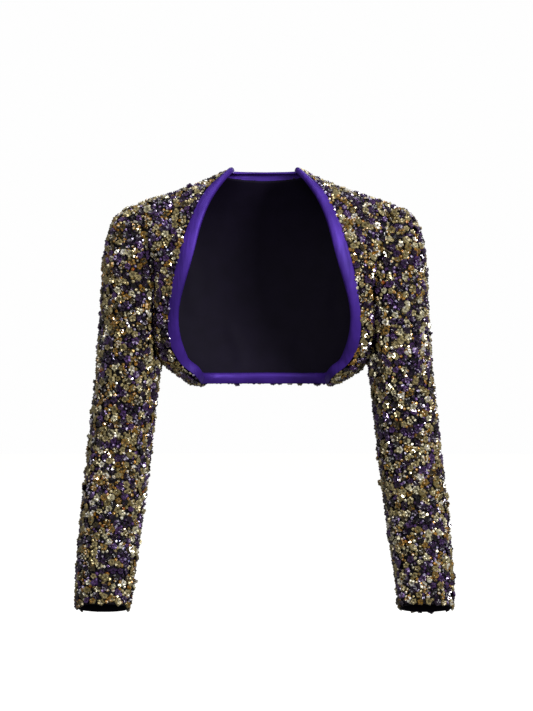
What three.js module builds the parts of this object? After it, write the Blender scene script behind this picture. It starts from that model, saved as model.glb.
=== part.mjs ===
// A cropped bolero jacket in sequinned cloth with a satin band, held open in its worn pose.
//
// Millimetres. +Z is up, -Y is the front of the garment and +X is its wearer's left. The origin is
// the middle of the neck, on the shoulder line, between the two points where neck and shoulders meet.
//
// The body is one smooth surface of level sections, each a rounded oval. Body panels are patches of
// it, sleeves are rings that start on the armhole, and the band runs round the one edge that goes
// from the back of the neck down both fronts, under the arms and along the back hem.

import * as THREE from "three";

// ---------------------------------------------------------------- driving sizes

const CLOTH = 3; // sequinned cloth on its ground, with the lining
const SATIN = 1.6; // folded satin of the band
const SEAM_GAP = 0.15; // each panel ends this far short of its seams
const BAND_GAP = 0.5; // between a panel's cut edge and the band, and at each end of its runs
const OVAL_POWER = 2.4; // roundness of the body's level sections, 2 is an ellipse
const SLEEVE_POWER = 2.15; // the same for the sleeve's rings

const SHOULDER_TIP_Z = -56; // where shoulder seam and sleeve meet
const UNDERARM_Z = -298; // where side seam and sleeve meet
const HEM_Z = -335;
const NECK_Z = -5; // neck end of the shoulder seam
const NECK_HALF = 60.5; // and its distance from the middle
const BACK_NECK_Z = -17; // middle of the back neckline
const NECK_SCOOP = 1.4; // how late the back neckline climbs to the shoulder, where 1 is evenly

const ARMHOLE_STEPS = 15; // from the shoulder tip to the underarm, in front and at the back
const SIDE_STEPS = 8; // down the side seam
const NECK_STEPS = 6; // from the middle of the back to the shoulder seam
const SHOULDER_STEPS = 8; // along the shoulder seam
const FAN_RINGS = 13; // sleeve rings that turn round the underarm
const ARM_RINGS = 15; // sleeve rings from there to the cuff
const UNDERARM_SHARE = 0.87; // of a panel's inner edge, level with the underarm
const SLANT_PASSES = 3; // how often the armhole walls' slants are evened out
const PATCH_PASSES = 16; // how often the points inside a body panel are evened out
const NEAREST_STEPS = 8; // steps to the nearest point of the surface
const NEAREST_PACE = 0.8; // how much of each step is taken
const TURN_PROBE = 0.001; // radians, to feel the surface's slope round a section
const DOWN_PROBE = 0.05; // and down the sections

// Level sections of the body, top to hem: half width, depth in front of and behind the middle line,
// and how far back that middle line lies. Past the shoulder tip the width is inside the sleeve head.
const BODY_SECTIONS = [
  { z: 0, half: 47.3, front: 30, back: 44, mid: 0 },
  { z: NECK_Z, half: NECK_HALF, front: 33, back: 48, mid: 0 },
  { z: -12, half: 75.5, front: 37, back: 53, mid: 0 },
  { z: -19.5, half: 90, front: 41, back: 58, mid: -1 },
  { z: -27, half: 105, front: 45, back: 63, mid: -1 },
  { z: -37, half: 135, front: 50, back: 70, mid: -2 },
  { z: -46.5, half: 164, front: 55, back: 76, mid: -3 },
  { z: SHOULDER_TIP_Z, half: 194, front: 60, back: 82, mid: -4 },
  { z: -66, half: 202, front: 65, back: 87, mid: -4 },
  { z: -80, half: 205, front: 71, back: 93, mid: -5 },
  { z: -110, half: 205, front: 81, back: 101, mid: -5 },
  { z: -145, half: 202, front: 88, back: 105, mid: -5 },
  { z: -180, half: 196, front: 91, back: 105, mid: -4 },
  { z: -220, half: 190, front: 89, back: 101, mid: -2 },
  { z: -255, half: 182, front: 83, back: 95, mid: 0 },
  { z: -275, half: 174.5, front: 78, back: 90, mid: 2 },
  { z: -290, half: 166.5, front: 73, back: 85, mid: 5 },
  { z: UNDERARM_Z, half: 160.5, front: 69, back: 81, mid: 7 },
  { z: -308, half: 150.5, front: 64, back: 75, mid: 10 },
  { z: -318.5, half: 139, front: 57, back: 67, mid: 14 },
  { z: -325, half: 129.5, front: 52, back: 61, mid: 17 },
  { z: -330, half: 121, front: 48, back: 56, mid: 20 },
  { z: -333.7, half: 112, front: 44, back: 51, mid: 23 },
  { z: HEM_Z, half: 104, front: 39, back: 46, mid: 26 },
];

// The armhole's distance from the middle of the body, in front and at the back.
const ARMHOLE = [
  { z: SHOULDER_TIP_Z, front: 194, back: 194 },
  { z: -66, front: 193, back: 193.5 },
  { z: -85, front: 189, back: 190.5 },
  { z: -110, front: 183, back: 186.5 },
  { z: -145, front: 175.5, back: 182 },
  { z: -180, front: 171, back: 178 },
  { z: -220, front: 169.5, back: 174.5 },
  { z: -260, front: 169, back: 171.5 },
  { z: -280, front: 167.5, back: 168.5 },
  { z: -290, front: 164.8, back: 165.2 },
  { z: UNDERARM_Z, front: 160.5, back: 160.5 },
];

// The front edge from shoulder seam to hem. x and z are the cut edge of the sequinned panel, bandX
// and bandZ the free edge of the satin, and turn is how far back the satin's free edge lies.
const FRONT_EDGE = [
  { x: NECK_HALF, z: NECK_Z, bandX: 47.3, bandZ: 0, turn: 0 },
  { x: 75, z: -19, bandX: 59.5, bandZ: -15, turn: -2 },
  { x: 87, z: -32, bandX: 72, bandZ: -35, turn: -3 },
  { x: 96.5, z: -46, bandX: 82, bandZ: -54, turn: -4 },
  { x: 107, z: -67, bandX: 91, bandZ: -76, turn: -5 },
  { x: 118, z: -94, bandX: 98.5, bandZ: -100, turn: -5 },
  { x: 127, z: -124, bandX: 105, bandZ: -128, turn: -5 },
  { x: 135.5, z: -155, bandX: 113, bandZ: -157, turn: -5 },
  { x: 142.5, z: -190, bandX: 123, bandZ: -190, turn: -4 },
  { x: 147, z: -222, bandX: 130.5, bandZ: -221, turn: -3 },
  { x: 148, z: -248, bandX: 130, bandZ: -246, turn: -1 },
  { x: 146, z: -271, bandX: 126.5, bandZ: -266, turn: 2 },
  { x: 140, z: -287, bandX: 122, bandZ: -279.5, turn: 5 },
  { x: 129.5, z: -304, bandX: 117, bandZ: -293, turn: 8 },
  { x: 118.7, z: -314.2, bandX: 111, bandZ: -300, turn: 9 },
  { x: 110, z: -320.5, bandX: 104.5, bandZ: -304.5, turn: 9 },
  { x: 104, z: -327, bandX: 100, bandZ: -309.5, turn: 7 },
  { x: 101, z: -332.5, bandX: 97.5, bandZ: -314.5, turn: 4 },
  { x: 100, z: HEM_Z, bandX: 96, bandZ: -317.5, turn: 2 },
];

const HEM_FACING = { rise: 17, inset: 6 }; // the band inside the back hem
const NECK_BAND = { rise: 15, inset: 8 }; // the band behind the neck

// The band's rounded face: how far across it, from the panel to the free edge, and how proud.
const BAND_FACE = [
  { across: 0, proud: -0.6 },
  { across: 0.18, proud: 1 },
  { across: 0.42, proud: 2.6 },
  { across: 0.66, proud: 3.2 },
  { across: 0.86, proud: 2.2 },
  { across: 0.98, proud: -0.2 },
  { across: 0.95, proud: -4.4 },
];
const BAND_LIFT = 2.6; // added to the face's start where the band turns in past the panel's cut edge

// The sleeve's outer line from shoulder tip to cuff. On each ring, depth is half its size front to
// back, mid how far back its centre lies, and lean how far its plane tips up in front, in degrees.
const SLEEVE_OUTER = [
  { x: 194, z: SHOULDER_TIP_Z, depth: 52, mid: -2, lean: 0 },
  { x: 210, z: -60.5, depth: 54, mid: -2, lean: 0 },
  { x: 221.5, z: -66, depth: 56, mid: -2, lean: 0 },
  { x: 229.5, z: -74, depth: 58, mid: -2, lean: 0 },
  { x: 235.5, z: -86, depth: 60, mid: -2, lean: 0 },
  { x: 241.5, z: -101, depth: 61.5, mid: -2, lean: 0 },
  { x: 246, z: -122, depth: 62.5, mid: -2, lean: 0 },
  { x: 249.5, z: -160, depth: 63, mid: -1, lean: 0 },
  { x: 252, z: -210, depth: 62, mid: 0, lean: 0 },
  { x: 255.5, z: -260, depth: 60.5, mid: 0, lean: 0 },
  { x: 259, z: -310, depth: 58.5, mid: 0, lean: 0 },
  { x: 264, z: -362, depth: 55.5, mid: -1, lean: 3 },
  { x: 269.5, z: -418, depth: 53, mid: -5, lean: 8 },
  { x: 275, z: -475, depth: 50.5, mid: -15, lean: 13 },
  { x: 280.5, z: -535, depth: 48, mid: -30, lean: 15 },
  { x: 285, z: -600, depth: 45, mid: -47, lean: 15 },
  { x: 287.5, z: -648, depth: 42.5, mid: -60, lean: 15 },
  { x: 286.5, z: -673, depth: 41.5, mid: -66.5, lean: 15 },
];

// The sleeve's inner line, from underarm to cuff.
const SLEEVE_INNER = [
  { x: 160.5, z: UNDERARM_Z },
  { x: 161.2, z: -306 },
  { x: 163.2, z: -318 },
  { x: 167.5, z: -350 },
  { x: 172, z: -393 },
  { x: 178, z: -455 },
  { x: 185.5, z: -510 },
  { x: 193, z: -575 },
  { x: 201, z: -640 },
  { x: 204.6, z: -673 },
];
const FAN_OUTER_END_Z = -300; // outer line's height where the turning rings end
const FAN_INNER_END_Z = -312; // inner line's height there

const FINISH = {
  sequins: { color: 0x4d3f38, roughness: 0.35, metalness: 0.4 },
  satin: { color: 0x472a98, roughness: 0.3, metalness: 0 },
};

// ---------------------------------------------------------------- curves through tables

// A smooth curve through a table's rows. Its parameter is the distance along the columns in
// spacing, and at(t, column) reads any column there.
function curveThrough(rows, spacing) {
  const knots = [0];
  rows.slice(1).forEach((row, i) => {
    const steps = spacing.map((column) => row[column] - rows[i][column]);
    knots.push(knots[i] + Math.hypot(...steps));
  });
  const last = rows.length - 1;
  const slope = (i, column) => {
    const before = Math.max(i - 1, 0);
    const after = Math.min(i + 1, last);
    return (rows[after][column] - rows[before][column]) / (knots[after] - knots[before]);
  };
  const at = (t, column) => {
    let i = 0;
    while (i < last - 1 && t > knots[i + 1]) i += 1;
    const span = knots[i + 1] - knots[i];
    const u = THREE.MathUtils.clamp((t - knots[i]) / span, 0, 1);
    const [from, to] = [rows[i][column], rows[i + 1][column]];
    const [leave, arrive] = [slope(i, column) * span, slope(i + 1, column) * span];
    const bend = u * u * (3 - 2 * u);
    return from + (to - from) * bend + u * (1 - u) * ((1 - u) * leave - u * arrive);
  };
  // The parameter at which a falling column reaches a value.
  const where = (column, value) => {
    let [low, high] = [0, knots[last]];
    for (let n = 0; n < 40; n += 1) {
      const middle = (low + high) / 2;
      if (at(middle, column) > value) low = middle;
      else high = middle;
    }
    return (low + high) / 2;
  };
  return { at, where, length: knots[last] };
}

const body = curveThrough(BODY_SECTIONS, ["half", "z"]);
const armhole = curveThrough(ARMHOLE, ["z"]);
const frontEdge = curveThrough(FRONT_EDGE, ["x", "z"]);
const sleeveOuter = curveThrough(SLEEVE_OUTER, ["x", "z"]);
const sleeveInner = curveThrough(SLEEVE_INNER, ["x", "z"]);

// ---------------------------------------------------------------- the body's surface

const QUARTER = Math.PI / 2;

// A point of the body's surface. turn goes round a section from the front middle, a quarter turn is
// the wearer's left side and a half turn the middle of the back. t goes down the sections.
function bodyPoint(turn, t) {
  const [across, along] = [Math.sin(turn), Math.cos(turn)];
  const scale = (Math.abs(across) ** OVAL_POWER + Math.abs(along) ** OVAL_POWER) ** (-1 / OVAL_POWER);
  const depth = along > 0 ? body.at(t, "front") : body.at(t, "back");
  return new THREE.Vector3(
    body.at(t, "half") * across * scale,
    body.at(t, "mid") - depth * along * scale,
    body.at(t, "z"),
  );
}

// The outward direction of the body's surface at a point of it.
function bodyNormal(turn, t) {
  const step = 0.002;
  const along = bodyPoint(turn + step, t).sub(bodyPoint(turn - step, t));
  const low = Math.max(t - 1, 0);
  const high = Math.min(t + 1, body.length);
  const down = bodyPoint(turn, high).sub(bodyPoint(turn, low));
  return down.cross(along).normalize();
}

// How far round a section a point lies that is x from the middle: in front, or else at the back.
function turnAt(x, t, inFront) {
  const share = Math.min(x / body.at(t, "half"), 1);
  const rest = (1 - share ** OVAL_POWER) ** (1 / OVAL_POWER);
  return inFront ? Math.atan2(share, rest) : Math.PI - Math.atan2(share, rest);
}

const place = (turn, t) => ({ turn, t });

// A point of the armhole: share 0 is the shoulder tip and 1 the underarm.
function armholePlace(share, inFront) {
  const middle = (SHOULDER_TIP_Z + UNDERARM_Z) / 2;
  const reach = (SHOULDER_TIP_Z - UNDERARM_Z) / 2;
  const z = middle + reach * Math.cos(share * Math.PI);
  const x = armhole.at(-z + SHOULDER_TIP_Z, inFront ? "front" : "back");
  const t = body.where("z", z);
  return place(turnAt(x, t, inFront), t);
}

// The outer side of a body panel, down the armhole and then the side seam.
function sideEdge(inFront) {
  const edge = [];
  for (let i = 0; i <= ARMHOLE_STEPS; i += 1) edge.push(armholePlace(i / ARMHOLE_STEPS, inFront));
  const [from, to] = [body.where("z", UNDERARM_Z), body.length];
  for (let i = 1; i <= SIDE_STEPS; i += 1) {
    edge.push(place(QUARTER, THREE.MathUtils.lerp(from, to, i / SIDE_STEPS)));
  }
  return edge;
}

// The shoulder seam, from neck to tip.
function shoulderEdge() {
  const [from, to] = [body.where("z", NECK_Z), body.where("z", SHOULDER_TIP_Z)];
  const edge = [];
  for (let i = 0; i <= SHOULDER_STEPS; i += 1) {
    edge.push(place(QUARTER, THREE.MathUtils.lerp(from, to, i / SHOULDER_STEPS)));
  }
  return edge;
}

// Shares of a line's length at its points.
function sharesAlong(edge) {
  const points = edge.map((p) => bodyPoint(p.turn, p.t));
  const shares = [0];
  points.slice(1).forEach((p, i) => shares.push(shares[i] + p.distanceTo(points[i])));
  return shares.map((s) => s / shares[shares.length - 1]);
}

// How far down a panel each of its rows starts and ends. The row at the underarm lies level, at
// UNDERARM_SHARE of the panel's inner edge.
function rowShares() {
  const shares = sharesAlong(sideEdge(true));
  const underarm = shares[ARMHOLE_STEPS];
  return shares.map((share, i) =>
    i <= ARMHOLE_STEPS
      ? THREE.MathUtils.mapLinear(share, 0, underarm, 0, UNDERARM_SHARE)
      : THREE.MathUtils.mapLinear(share, underarm, 1, UNDERARM_SHARE, 1),
  );
}

// The place of the body's surface nearest to a point, stepped to from a guess.
function nearestPlace(point, guess) {
  let { turn, t } = guess;
  for (let n = 0; n < NEAREST_STEPS; n += 1) {
    const here = bodyPoint(turn, t);
    const round = bodyPoint(turn + TURN_PROBE, t).sub(here).divideScalar(TURN_PROBE);
    const down = bodyPoint(turn, t + DOWN_PROBE).sub(here).divideScalar(DOWN_PROBE);
    const miss = point.clone().sub(here);
    const [rr, rd, dd] = [round.dot(round), round.dot(down), down.dot(down)];
    const [byRound, byDown] = [round.dot(miss), down.dot(miss)];
    const share = NEAREST_PACE / (rr * dd - rd * rd);
    turn += share * (dd * byRound - rd * byDown);
    t = THREE.MathUtils.clamp(t + share * (rr * byDown - rd * byRound), 0, body.length - DOWN_PROBE);
  }
  return place(turn, t);
}

// Moves each point inside a patch to the middle of its four neighbours, on the surface.
function easedPatch(places, passes) {
  const points = places.map((row) => row.map((p) => bodyPoint(p.turn, p.t)));
  const ease = (p, i, j) => {
    if (i === 0 || j === 0 || i === places.length - 1 || j === places[0].length - 1) return p;
    const around = [points[i - 1][j], points[i + 1][j], points[i][j - 1], points[i][j + 1]];
    const middle = around.reduce((sum, q) => sum.add(q), new THREE.Vector3()).divideScalar(around.length);
    return nearestPlace(middle, p);
  };
  const eased = places.map((row, i) => row.map((p, j) => ease(p, i, j)));
  return passes > 1 ? easedPatch(eased, passes - 1) : eased;
}

// Fills a patch of the surface between four edges that share their corners. top and bottom go
// across, and left and right go down.
function fillPatch(top, bottom, left, right) {
  const across = sharesAlong(top);
  const down = rowShares();
  const [topLeft, topRight] = [top[0], top[top.length - 1]];
  const [lowLeft, lowRight] = [bottom[0], bottom[bottom.length - 1]];
  const mix = (key, i, j) => {
    const [s, v] = [across[j], down[i]];
    const sides = (1 - s) * left[i][key] + s * right[i][key];
    const ends = (1 - v) * top[j][key] + v * bottom[j][key];
    const high = (1 - s) * topLeft[key] + s * topRight[key];
    const low = (1 - s) * lowLeft[key] + s * lowRight[key];
    return sides + ends - (1 - v) * high - v * low;
  };
  const blended = right.map((_, i) => top.map((__, j) => place(mix("turn", i, j), mix("t", i, j))));
  return easedPatch(blended, PATCH_PASSES);
}

// ---------------------------------------------------------------- walls

const mirrored = (p) => new THREE.Vector3(-p.x, p.y, p.z);

// A closed wall between two grids of points. Rows go down and columns across so that outer faces
// the way of row direction x column direction. A ring grid's last column joins its first.
function wallBetween(outer, inner, isRing) {
  const [rows, columns] = [outer.length, outer[0].length];
  const inside = rows * columns;
  const at = (i, j) => i * columns + (j % columns);
  const points = [...outer.flat(), ...inner.flat()];
  const positions = points.flatMap((p) => [p.x, p.y, p.z]);
  const faces = [];
  // Cuts a quad along its shorter diagonal.
  const quad = (a, b, c, d) => {
    const isFirstShorter = points[a].distanceTo(points[c]) <= points[b].distanceTo(points[d]);
    faces.push(...(isFirstShorter ? [a, b, c, a, c, d] : [b, c, d, b, d, a]));
  };
  const strips = isRing ? columns : columns - 1;
  for (let i = 0; i < rows - 1; i += 1) {
    for (let j = 0; j < strips; j += 1) {
      quad(at(i, j), at(i + 1, j), at(i + 1, j + 1), at(i, j + 1));
      quad(inside + at(i, j), inside + at(i, j + 1), inside + at(i + 1, j + 1), inside + at(i + 1, j));
    }
  }
  const rim = (a, b) => quad(a, b, inside + b, inside + a);
  for (let j = 0; j < strips; j += 1) {
    rim(at(0, j), at(0, j + 1));
    rim(at(rows - 1, j + 1), at(rows - 1, j));
  }
  if (!isRing) {
    for (let i = 0; i < rows - 1; i += 1) {
      rim(at(i + 1, 0), at(i, 0));
      rim(at(i, columns - 1), at(i + 1, columns - 1));
    }
  }
  return new THREE.BufferGeometry()
    .setAttribute("position", new THREE.Float32BufferAttribute(positions, 3))
    .setIndex(faces);
}

// Pulls the first and last points of a line in by a gap.
function pullIn(line, gap) {
  const last = line.length - 1;
  const towards = (from, to) => to.clone().sub(from).setLength(gap).add(from);
  return line.map((p, i) => {
    if (i === 0) return towards(p, line[1]);
    return i === last ? towards(p, line[last - 1]) : p;
  });
}

const columnOf = (grid, j) => grid.map((row) => row[j]);

// A grid whose columns run the other way, so that its wall faces out.
const turnedRound = (grid) => grid.map((row) => [...row].reverse());

// Parts a grid from its neighbours where its columns start and end.
function partEnds(grid, gap) {
  const lines = grid[0].map((_, k) => pullIn(columnOf(grid, k), gap));
  return grid.map((row, i) => row.map((_, k) => lines[k][i]));
}

// Parts a panel's grid from its neighbours on all four sides.
const partSeams = (grid) => partEnds(grid.map((row) => pullIn(row, SEAM_GAP)), SEAM_GAP);

// A body panel's surface and its inside, whose wall meets the sleeve's on the armhole's slants.
function panelGrids(places, seam) {
  const outer = places.map((row) => row.map((p) => bodyPoint(p.turn, p.t)));
  const inner = places.map((row) => [...row]);
  places.forEach((row, i) =>
    row.forEach((p, j) => {
      const atSleeve = j === row.length - 1 && i < seam.length;
      const out = atSleeve ? seam[i].slant : bodyNormal(p.turn, p.t);
      if (atSleeve) outer[i][j].addScaledVector(seam[i].aside, -SEAM_GAP);
      inner[i][j] = outer[i][j].clone().addScaledVector(out, -CLOTH);
    }),
  );
  return { outer, inner };
}

// ---------------------------------------------------------------- sleeves

const AROUND = 2 * ARMHOLE_STEPS; // points round a sleeve, which share the armhole's

// A ring of the sleeve between a place on its outer line and one on its inner line.
function sleeveRing(outerT, innerT) {
  const top = new THREE.Vector3(sleeveOuter.at(outerT, "x"), 0, sleeveOuter.at(outerT, "z"));
  const under = new THREE.Vector3(sleeveInner.at(innerT, "x"), 0, sleeveInner.at(innerT, "z"));
  const centre = top.clone().add(under).divideScalar(2);
  centre.y = sleeveOuter.at(outerT, "mid");
  const outward = top.clone().sub(under).divideScalar(2);
  const lean = THREE.MathUtils.degToRad(sleeveOuter.at(outerT, "lean"));
  const forward = new THREE.Vector3(0, -Math.cos(lean), Math.sin(lean));
  forward.multiplyScalar(sleeveOuter.at(outerT, "depth"));
  const ring = [];
  for (let k = 0; k < AROUND; k += 1) {
    const angle = (2 * Math.PI * k) / AROUND;
    const [c, s] = [Math.cos(angle), Math.sin(angle)];
    const scale = (Math.abs(c) ** SLEEVE_POWER + Math.abs(s) ** SLEEVE_POWER) ** (-1 / SLEEVE_POWER);
    ring.push(centre.clone().addScaledVector(outward, c * scale).addScaledVector(forward, s * scale));
  }
  return ring;
}

// The armhole as a ring: down its front from the shoulder tip, and up its back.
function armholeRing() {
  const ring = [];
  for (let k = 0; k < AROUND; k += 1) {
    const inFront = k <= ARMHOLE_STEPS;
    const share = inFront ? k / ARMHOLE_STEPS : (AROUND - k) / ARMHOLE_STEPS;
    const p = armholePlace(share, inFront);
    ring.push({ point: bodyPoint(p.turn, p.t), normal: bodyNormal(p.turn, p.t) });
  }
  return ring;
}

// The left sleeve's rings. The first is the armhole, whose own shape fades out over the next few.
function sleeveRings(armholePoints) {
  const outerFan = sleeveOuter.where("z", FAN_OUTER_END_Z);
  const innerFan = sleeveInner.where("z", FAN_INNER_END_Z);
  const first = sleeveRing(0, 0);
  const rings = [];
  for (let i = 0; i <= FAN_RINGS; i += 1) {
    const share = i / FAN_RINGS;
    const fade = (1 - THREE.MathUtils.smoothstep(share, 0, 0.7)) ** 2;
    const ring = sleeveRing(outerFan * share, innerFan * share);
    rings.push(ring.map((p, k) => p.addScaledVector(armholePoints[k].clone().sub(first[k]), fade)));
  }
  for (let i = 1; i <= ARM_RINGS; i += 1) {
    const share = i / ARM_RINGS;
    const outerT = THREE.MathUtils.lerp(outerFan, sleeveOuter.length, share);
    const innerT = THREE.MathUtils.lerp(innerFan, sleeveInner.length, share);
    rings.push(sleeveRing(outerT, innerT));
  }
  return rings;
}

// The outward direction at each point of a grid of rings.
function ringNormals(rings) {
  const last = rings.length - 1;
  return rings.map((ring, i) =>
    ring.map((_, k) => {
      const along = rings[Math.min(i + 1, last)][k].clone().sub(rings[Math.max(i - 1, 0)][k]);
      const around = ring[(k + 1) % AROUND].clone().sub(ring[(k + AROUND - 1) % AROUND]);
      return around.cross(along).normalize();
    }),
  );
}

const armholeSeam = armholeRing();
const leftRings = sleeveRings(armholeSeam.map((p) => p.point));
const leftRingNormals = ringNormals(leftRings);

// Each direction round a ring, evened out with its neighbours.
function evenedOut(ring, passes) {
  const ahead = (k, step) => ring[(k + step + AROUND) % AROUND];
  const once = ring.map((v, k) => ahead(k, -1).clone().add(ahead(k, 1)).addScaledVector(v, 2).normalize());
  return passes > 1 ? evenedOut(once, passes - 1) : once;
}

// The armhole's seam: slant is half way between body and sleeve, so that their walls meet on one
// slanted face, and aside is the way across that face to the sleeve.
function armholeSlants() {
  const halfWay = armholeSeam.map((p, k) => p.normal.clone().add(leftRingNormals[0][k]).normalize());
  return evenedOut(halfWay, SLANT_PASSES).map((slant, k) => {
    const ahead = armholeSeam[(k + 1) % AROUND].point.clone();
    const along = ahead.sub(armholeSeam[(k + AROUND - 1) % AROUND].point);
    return { slant, aside: slant.clone().cross(along).normalize() };
  });
}

const seam = armholeSlants();

function sleeveGrids() {
  const outer = leftRings.map((ring) => ring.map((p) => p.clone()));
  outer[0].forEach((p, k) => p.addScaledVector(seam[k].aside, SEAM_GAP));
  const inner = outer.map((ring, i) =>
    ring.map((p, k) => {
      const out = i === 0 ? seam[k].slant : leftRingNormals[i][k];
      return p.clone().addScaledVector(out, -CLOTH);
    }),
  );
  return { outer: turnedRound(outer), inner: turnedRound(inner) };
}

// ---------------------------------------------------------------- body panels

// The cut edge of the front panel at a share of its length, as a place on the body.
function frontEdgePlace(share) {
  const along = share * frontEdge.length;
  const t = body.where("z", frontEdge.at(along, "z"));
  return place(turnAt(frontEdge.at(along, "x"), t, true), t);
}

function hemEdge(from, to, steps) {
  const edge = [];
  for (let j = 0; j <= steps; j += 1) {
    edge.push(place(THREE.MathUtils.lerp(from, to, j / steps), body.length));
  }
  return edge;
}

function frontPanel() {
  const right = sideEdge(true);
  const left = rowShares().map(frontEdgePlace);
  const hemStart = left[left.length - 1].turn;
  const places = fillPatch(shoulderEdge(), hemEdge(hemStart, QUARTER, SHOULDER_STEPS), left, right);
  const { outer, inner } = panelGrids(places, seam.slice(0, ARMHOLE_STEPS + 1));
  return { outer: partSeams(outer), inner: partSeams(inner) };
}

// Half of the back neckline, from the middle to the shoulder seam, without its last point.
function backNeckEdge() {
  const edge = [];
  for (let j = 0; j < NECK_STEPS; j += 1) {
    const share = j / NECK_STEPS;
    const z = THREE.MathUtils.lerp(BACK_NECK_Z, NECK_Z, share ** NECK_SCOOP);
    edge.push(place(Math.PI - share * QUARTER, body.where("z", z)));
  }
  return edge;
}

function backPanel() {
  const right = sideEdge(false);
  const neckT = body.where("z", BACK_NECK_Z);
  const left = rowShares().map((share) =>
    place(Math.PI, THREE.MathUtils.lerp(neckT, body.length, share)),
  );
  const top = [...backNeckEdge(), ...shoulderEdge()];
  const bottom = hemEdge(Math.PI, QUARTER, NECK_STEPS + SHOULDER_STEPS);
  const { outer, inner } = panelGrids(fillPatch(top, bottom, left, right), armholeBackSeam());
  const bothHalves = (grid) => grid.map((row) => [...row.slice(1).reverse(), ...row.map(mirrored)]);
  return { outer: partSeams(bothHalves(outer)), inner: partSeams(bothHalves(inner)) };
}

// The back half of the armhole's seam, from the shoulder tip down.
const armholeBackSeam = () => [seam[0], ...seam.slice(ARMHOLE_STEPS).reverse()];

// ---------------------------------------------------------------- the satin band

// A station of the band: the panel's cut edge, the way out of the cloth there and the free edge.
function station(edge, step) {
  const start = bodyPoint(edge.turn, edge.t);
  return { start, free: start.clone().add(step), out: bodyNormal(edge.turn, edge.t) };
}

const flipped = ({ start, free, out }) => ({
  start: mirrored(start),
  free: mirrored(free),
  out: mirrored(out),
});

// How the free edge lies from the cut edge at a share of the front edge's length.
function frontStep(share) {
  const along = share * frontEdge.length;
  return new THREE.Vector3(
    frontEdge.at(along, "bandX") - frontEdge.at(along, "x"),
    frontEdge.at(along, "turn"),
    frontEdge.at(along, "bandZ") - frontEdge.at(along, "z"),
  );
}

// Behind the neck, from the middle of the back to just before the shoulder seam.
function neckStations() {
  const shoulder = frontStep(0);
  const behind = new THREE.Vector3(0, -NECK_BAND.inset, NECK_BAND.rise);
  return backNeckEdge().map((edge, j) => {
    const share = j / NECK_STEPS;
    const step = behind.clone().lerp(shoulder, THREE.MathUtils.smoothstep(share, 0, 1));
    step.x = shoulder.x * (bodyPoint(edge.turn, edge.t).x / NECK_HALF);
    return station(edge, step);
  });
}

// Inside the hem, from the end of the front edge to the middle of the back, without its first point.
function hemStations() {
  const front = frontStep(1);
  const fromSide = hemEdge(QUARTER, Math.PI, NECK_STEPS + SHOULDER_STEPS).slice(1);
  const edges = [...hemEdge(frontEdgePlace(1).turn, QUARTER, SHOULDER_STEPS).slice(1), ...fromSide];
  return edges.map((edge, j) => {
    const point = bodyPoint(edge.turn, edge.t);
    const outward = new THREE.Vector3(point.x, point.y - body.at(edge.t, "mid"), 0).normalize();
    const settled = new THREE.Vector3(0, 0, HEM_FACING.rise).addScaledVector(outward, -HEM_FACING.inset);
    const share = THREE.MathUtils.smoothstep(j, -1, SHOULDER_STEPS);
    return station(edge, front.clone().lerp(settled, share));
  });
}

// The band's face and the side behind it at one station, between its neighbours on the loop.
function bandSection({ start, free, out }, before, after) {
  const along = after.start.clone().sub(before.start).normalize();
  const across = free.clone().sub(start);
  const width = across.length() - BAND_GAP;
  across.normalize();
  const proud = across.clone().cross(along).normalize();
  const lift = BAND_LIFT * Math.max(0, -across.dot(out));
  const face = BAND_FACE.map(({ across: share, proud: height }) =>
    start
      .clone()
      .addScaledVector(across, BAND_GAP + width * share)
      .addScaledVector(proud, height + lift * (1 - share)),
  );
  const behind = face.map((p, j) => {
    const run = face[Math.min(j + 1, face.length - 1)].clone().sub(face[Math.max(j - 1, 0)]);
    return p.clone().addScaledVector(run.cross(along).normalize(), -SATIN);
  });
  return { face, behind };
}

// The band's sections on the left half of the loop, from the middle of the neck to that of the hem.
function bandSections(frontShares) {
  const front = frontShares.map((share) => station(frontEdgePlace(share), frontStep(share)));
  const loop = [...neckStations(), ...front, ...hemStations()];
  return loop.map((here, i) => {
    const before = i === 0 ? flipped(loop[1]) : loop[i - 1];
    const after = i === loop.length - 1 ? flipped(loop[i - 1]) : loop[i + 1];
    return bandSection(here, before, after);
  });
}

const flippedSection = ({ face, behind }) => ({
  face: face.map(mirrored),
  behind: behind.map(mirrored),
});

// A run of the band, parted from the next at both ends.
function bandGrids(sections) {
  const grid = (side) => turnedRound(partEnds(sections.map((section) => section[side]), BAND_GAP));
  return { outer: grid("face"), inner: grid("behind") };
}

// ---------------------------------------------------------------- assembly

const jacket = new THREE.Group();

function addPiece(name, geometry, finish) {
  const mesh = new THREE.Mesh(geometry, new THREE.MeshStandardMaterial(finish));
  mesh.name = name;
  jacket.add(mesh);
}

const mirrorGrid = (grid) => grid.map((row) => row.map(mirrored).reverse());

function addPair(name, { outer, inner }, isRing, finish) {
  addPiece(`${name}_left`, wallBetween(outer, inner, isRing), finish);
  addPiece(`${name}_right`, wallBetween(mirrorGrid(outer), mirrorGrid(inner), isRing), finish);
}

addPair("front", frontPanel(), false, FINISH.sequins);
const back = backPanel();
addPiece("back", wallBetween(back.outer, back.inner, false), FINISH.sequins);
addPair("sleeve", sleeveGrids(), true, FINISH.sequins);

const frontShares = rowShares();
const sections = bandSections(frontShares);
const [neckRun, frontRun] = [sections.slice(0, NECK_STEPS + 1), sections.slice(NECK_STEPS)];
addPair("band_front", bandGrids(frontRun.slice(0, frontShares.length)), false, FINISH.satin);
const neckBand = bandGrids([...neckRun.slice(1).reverse().map(flippedSection), ...neckRun]);
addPiece("band_neck", wallBetween(neckBand.outer, neckBand.inner, false), FINISH.satin);
const hemRun = frontRun.slice(frontShares.length - 1);
const hemBand = bandGrids([...hemRun, ...hemRun.slice(0, -1).reverse().map(flippedSection)]);
addPiece("band_hem", wallBetween(hemBand.outer, hemBand.inner, false), FINISH.satin);

export default jacket;
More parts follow.
